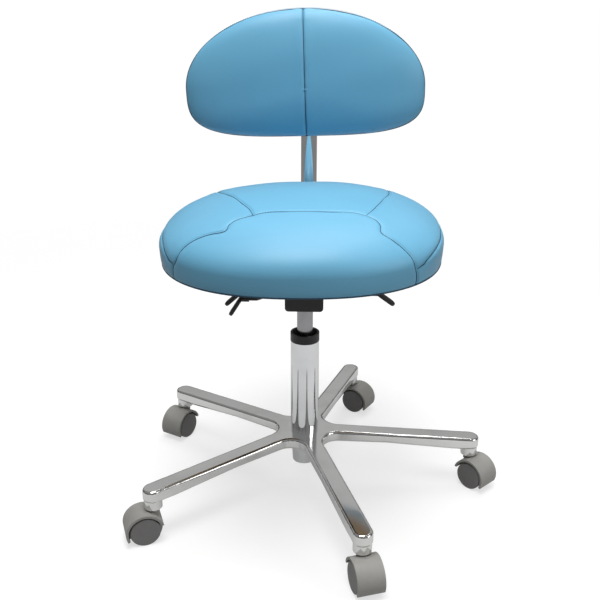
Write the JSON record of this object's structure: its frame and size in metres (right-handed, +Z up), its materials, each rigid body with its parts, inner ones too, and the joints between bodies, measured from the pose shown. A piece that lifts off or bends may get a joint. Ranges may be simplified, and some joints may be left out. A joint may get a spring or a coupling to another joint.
{
  "type": "dentist stool",
  "caption": "Round padded swivel stool with a bean-shaped backrest, gas lift, under-seat levers and a polished star base on hooded casters.",
  "frame": {"origin": "on the lift's axis at floor level", "axes": "+Z up, the sitter faces -Y, +X is the right-hand side seen from the front"},
  "size_m": [0.6554, 0.6603, 0.831],
  "materials": {
    "polished_aluminium": "polished casting",
    "chrome_tube": "bright chrome plate",
    "ground_steel": "ground and hard-chromed",
    "zinc_steel": "bright zinc",
    "black_steel": "satin black powder coat",
    "black_plastic": "fine spark-eroded grain",
    "seal_rubber": "matt",
    "plywood": "raw birch ply",
    "upholstery": "smooth sky-blue leatherette with a fine grain",
    "edge_cover": "satin light grey",
    "caster_grey": "satin moulded grey",
    "wheel_grey": "satin moulded dark grey"
  },
  "bodies": {
    "base": {"base_star": "polished_aluminium", "column_tube": "chrome_tube", "guide_bush": "black_plastic", "thrust_race_lower": "zinc_steel", "caster_grip_rings": "zinc_steel"},
    "lift_rod": {"piston_rod": "ground_steel", "piston": "zinc_steel", "thrust_balls": "zinc_steel", "thrust_race_upper": "zinc_steel", "column_clip": "zinc_steel"},
    "lift": {"pressure_cylinder": "ground_steel", "rod_seal": "seal_rubber", "taper_socket": "zinc_steel", "mechanism_housing": "black_steel", "pivot_shafts": "zinc_steel", "clamp_plates": "zinc_steel"},
    "lift_pin": {"release_pin": "zinc_steel"},
    "seat": {"seat_plate": "black_steel", "seat_board": "plywood", "seat_cushion": "upholstery", "seat_edge_cover": "edge_cover", "seat_bolts": "zinc_steel"},
    "back_arm": {"back_bracket": "black_steel", "back_stem": "chrome_tube"},
    "backrest": {"back_cushion": "upholstery", "back_shell": "upholstery", "back_sleeve": "black_steel", "back_screws": "zinc_steel"},
    "clamp_knob": {"back_knob": "black_plastic"},
    "height_control": {"height_lever": "black_steel", "height_paddle": "black_plastic"},
    "tilt_control": {"tilt_lever": "black_steel", "tilt_paddle": "black_plastic"},
    "recline_control": {"recline_lever": "black_steel", "recline_paddle": "black_plastic"},
    "back_left_caster": {"caster_back_left_hood": "caster_grey", "caster_back_left_stem": "zinc_steel", "caster_back_left_axle": "zinc_steel"},
    "back_left_wheel_left": {"caster_back_left_wheel_left": "wheel_grey"},
    "back_left_wheel_right": {"caster_back_left_wheel_right": "wheel_grey"},
    "front_left_caster": {"caster_front_left_hood": "caster_grey", "caster_front_left_stem": "zinc_steel", "caster_front_left_axle": "zinc_steel"},
    "front_left_wheel_left": {"caster_front_left_wheel_left": "wheel_grey"},
    "front_left_wheel_right": {"caster_front_left_wheel_right": "wheel_grey"},
    "front_right_caster": {"caster_front_right_hood": "caster_grey", "caster_front_right_stem": "zinc_steel", "caster_front_right_axle": "zinc_steel"},
    "front_right_wheel_left": {"caster_front_right_wheel_left": "wheel_grey"},
    "front_right_wheel_right": {"caster_front_right_wheel_right": "wheel_grey"},
    "right_caster": {"caster_right_hood": "caster_grey", "caster_right_stem": "zinc_steel", "caster_right_axle": "zinc_steel"},
    "right_wheel_left": {"caster_right_wheel_left": "wheel_grey"},
    "right_wheel_right": {"caster_right_wheel_right": "wheel_grey"},
    "back_caster": {"caster_back_hood": "caster_grey", "caster_back_stem": "zinc_steel", "caster_back_axle": "zinc_steel"},
    "back_wheel_left": {"caster_back_wheel_left": "wheel_grey"},
    "back_wheel_right": {"caster_back_wheel_right": "wheel_grey"}
  },
  "joints": [
    {"name": "seat_swivel", "type": "hinge", "parent": "base", "child": "lift_rod", "pos_m": [0, 0, 0.06], "axis": [0, 0, 1], "continuous": true},
    {"name": "seat_height", "type": "slide", "parent": "lift_rod", "child": "lift", "axis": [0, 0, 1], "range_m": [-0.05, 0.08]},
    {"name": "seat_tilt", "type": "hinge", "parent": "lift", "child": "seat", "pos_m": [0, -0.042, 0.408], "axis": [1, 0, 0], "range_deg": [-4, 8]},
    {"name": "back_recline", "type": "hinge", "parent": "lift", "child": "back_arm", "pos_m": [0, 0.07, 0.4], "axis": [1, 0, 0], "range_deg": [-12, 5]},
    {"name": "back_height", "type": "slide", "parent": "back_arm", "child": "backrest", "axis": [0, 0, 1], "range_m": [-0.04, 0.04]},
    {"name": "knob_turn", "type": "hinge", "parent": "backrest", "child": "clamp_knob", "pos_m": [0, 0.254, 0.69], "axis": [0, 1, 0], "range_deg": [0, 360]},
    {"name": "height_lever_pull", "type": "hinge", "parent": "lift", "child": "height_control", "pos_m": [-0.0305, 0, 0.4188], "axis": [0, 1, 0], "range_deg": [0, 8], "stiffness_Nm_per_rad": 1.2, "springref_deg": -5.73},
    {"name": "release_pin_push", "type": "slide", "parent": "lift", "child": "lift_pin", "axis": [0, 0, -1], "range_m": [0, 0.0045]},
    {"name": "tilt_lever_pull", "type": "hinge", "parent": "lift", "child": "tilt_control", "pos_m": [-0.0305, -0.052, 0.392], "axis": [0, 1, 0], "range_deg": [0, 10]},
    {"name": "recline_lever_pull", "type": "hinge", "parent": "lift", "child": "recline_control", "pos_m": [0.0305, -0.03, 0.394], "axis": [0, -1, 0], "range_deg": [0, 10]},
    {"name": "back_left_swivel", "type": "hinge", "parent": "base", "child": "back_left_caster", "pos_m": [-0.24861, 0.17668, 0.07], "axis": [0, 0, 1], "continuous": true},
    {"name": "back_left_roll_left", "type": "hinge", "parent": "back_left_caster", "child": "back_left_wheel_left", "pos_m": [-0.25761, 0.16109, 0.025], "axis": [-0.866, 0.5, 0], "continuous": true},
    {"name": "back_left_roll_right", "type": "hinge", "parent": "back_left_caster", "child": "back_left_wheel_right", "pos_m": [-0.25761, 0.16109, 0.025], "axis": [-0.866, 0.5, 0], "continuous": true},
    {"name": "front_left_swivel", "type": "hinge", "parent": "base", "child": "front_left_caster", "pos_m": [-0.24486, -0.18185, 0.07], "axis": [0, 0, 1], "continuous": true},
    {"name": "front_left_roll_left", "type": "hinge", "parent": "front_left_caster", "child": "front_left_wheel_left", "pos_m": [-0.26177, -0.18801, 0.025], "axis": [-0.342, 0.9397, 0], "continuous": true},
    {"name": "front_left_roll_right", "type": "hinge", "parent": "front_left_caster", "child": "front_left_wheel_right", "pos_m": [-0.26177, -0.18801, 0.025], "axis": [-0.342, 0.9397, 0], "continuous": true},
    {"name": "front_right_swivel", "type": "hinge", "parent": "base", "child": "front_right_caster", "pos_m": [0.09728, -0.28907, 0.07], "axis": [0, 0, 1], "continuous": true},
    {"name": "front_right_roll_left", "type": "hinge", "parent": "front_right_caster", "child": "front_right_wheel_left", "pos_m": [0.10254, -0.30628, 0.025], "axis": [-0.9563, -0.2924, 0], "continuous": true},
    {"name": "front_right_roll_right", "type": "hinge", "parent": "front_right_caster", "child": "front_right_wheel_right", "pos_m": [0.10254, -0.30628, 0.025], "axis": [-0.9563, -0.2924, 0], "continuous": true},
    {"name": "right_swivel", "type": "hinge", "parent": "base", "child": "right_caster", "pos_m": [0.30498, 0.00319, 0.07], "axis": [0, 0, 1], "continuous": true},
    {"name": "right_roll_left", "type": "hinge", "parent": "right_caster", "child": "right_wheel_left", "pos_m": [0.31749, -0.00975, 0.025], "axis": [-0.7193, -0.6947, 0], "continuous": true},
    {"name": "right_roll_right", "type": "hinge", "parent": "right_caster", "child": "right_wheel_right", "pos_m": [0.31749, -0.00975, 0.025], "axis": [-0.7193, -0.6947, 0], "continuous": true},
    {"name": "back_swivel", "type": "hinge", "parent": "base", "child": "back_caster", "pos_m": [0.09121, 0.29104, 0.07], "axis": [0, 0, 1], "continuous": true},
    {"name": "back_roll_left", "type": "hinge", "parent": "back_caster", "child": "back_wheel_left", "pos_m": [0.1068, 0.28204, 0.025], "axis": [-0.5, -0.866, 0], "continuous": true},
    {"name": "back_roll_right", "type": "hinge", "parent": "back_caster", "child": "back_wheel_right", "pos_m": [0.1068, 0.28204, 0.025], "axis": [-0.5, -0.866, 0], "continuous": true}
  ],
  "couplings": [
    {"joint": "release_pin_push", "follows": "height_lever_pull", "m_per_rad": 0.0305}
  ]
}
